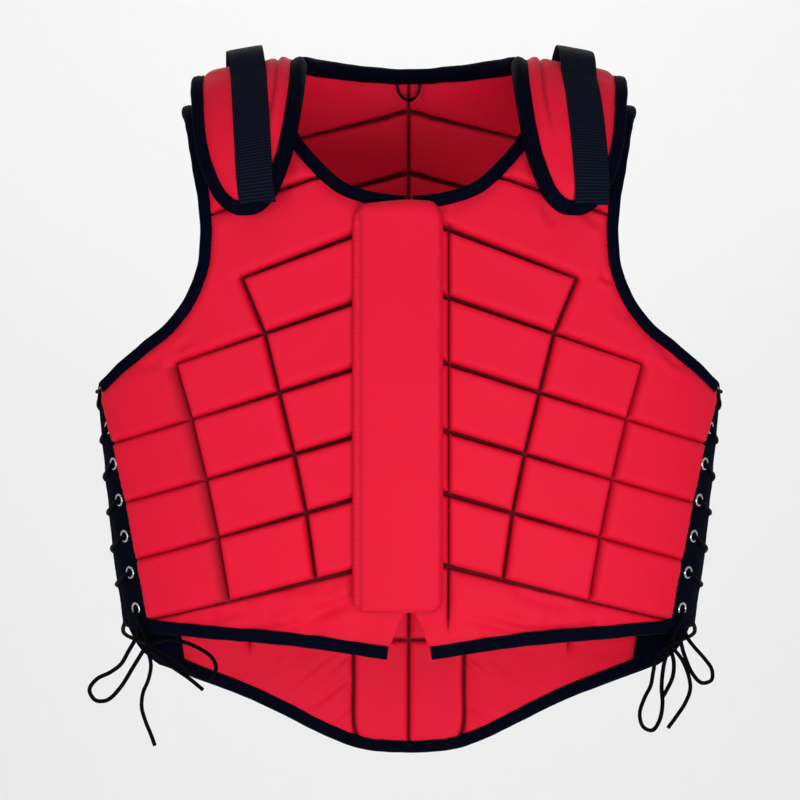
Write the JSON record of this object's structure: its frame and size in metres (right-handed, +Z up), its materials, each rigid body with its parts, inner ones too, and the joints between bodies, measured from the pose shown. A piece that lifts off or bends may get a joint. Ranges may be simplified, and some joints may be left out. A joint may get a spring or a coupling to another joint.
{
  "type": "equestrian body protector",
  "caption": "Red quilted riding body protector in its worn form, with navy bound edges, a front flap over the closure, padded shoulders with webbing straps and laced sides.",
  "frame": {"origin": "Between the two shoulders, at the height where the shoulder bridges rest on the wearer", "axes": "+Z up, front towards -Y, +X the viewer's right"},
  "size_m": [0.4974, 0.2278, 0.5629],
  "materials": {
    "red_nylon": "matte",
    "navy_tape": "matte",
    "navy_webbing": "matte",
    "eyelet_steel": "polished",
    "black_lace": "matte"
  },
  "bodies": {
    "root": {"back_armhole_binding_left": "navy_tape", "back_armhole_binding_right": "navy_tape", "back_flap_left": "navy_tape", "back_flap_right": "navy_tape", "back_hem_binding": "navy_tape", "back_neck_binding": "navy_tape", "back_panel": "red_nylon", "front_armhole_binding_left": "navy_tape", "front_armhole_binding_right": "navy_tape", "front_eyelet_1_left": "eyelet_steel", "front_eyelet_1_right": "eyelet_steel", "front_eyelet_2_left": "eyelet_steel", "front_eyelet_2_right": "eyelet_steel", "front_eyelet_3_left": "eyelet_steel", "front_eyelet_3_right": "eyelet_steel", "front_eyelet_4_left": "eyelet_steel", "front_eyelet_4_right": "eyelet_steel", "front_eyelet_5_left": "eyelet_steel", "front_eyelet_5_right": "eyelet_steel", "front_eyelet_6_left": "eyelet_steel", "front_eyelet_6_right": "eyelet_steel", "front_eyelet_7_left": "eyelet_steel", "front_eyelet_7_right": "eyelet_steel", "front_flap_left": "navy_tape", "front_flap_right": "navy_tape", "front_hem_binding_left": "navy_tape", "front_hem_binding_right": "navy_tape", "front_neck_binding_left": "navy_tape", "front_neck_binding_right": "navy_tape", "front_panel_left": "red_nylon", "front_panel_right": "red_nylon", "front_zip": "navy_tape", "lace_end_inner_left": "black_lace", "lace_end_inner_right": "black_lace", "lace_end_outer_left": "black_lace", "lace_end_outer_right": "black_lace", "lace_knot_left": "black_lace", "lace_knot_right": "black_lace", "lace_loop_inner_left": "black_lace", "lace_loop_inner_right": "black_lace", "lace_loop_outer_left": "black_lace", "lace_loop_outer_right": "black_lace", "neck_hanger": "navy_tape", "placket": "red_nylon", "shoulder_pad_binding_left": "navy_tape", "shoulder_pad_binding_right": "navy_tape", "shoulder_pad_left": "red_nylon", "shoulder_pad_right": "red_nylon", "shoulder_strap_left": "navy_webbing", "shoulder_strap_right": "navy_webbing", "side_lace_left": "black_lace", "side_lace_right": "black_lace"}
  },
  "joints": []
}
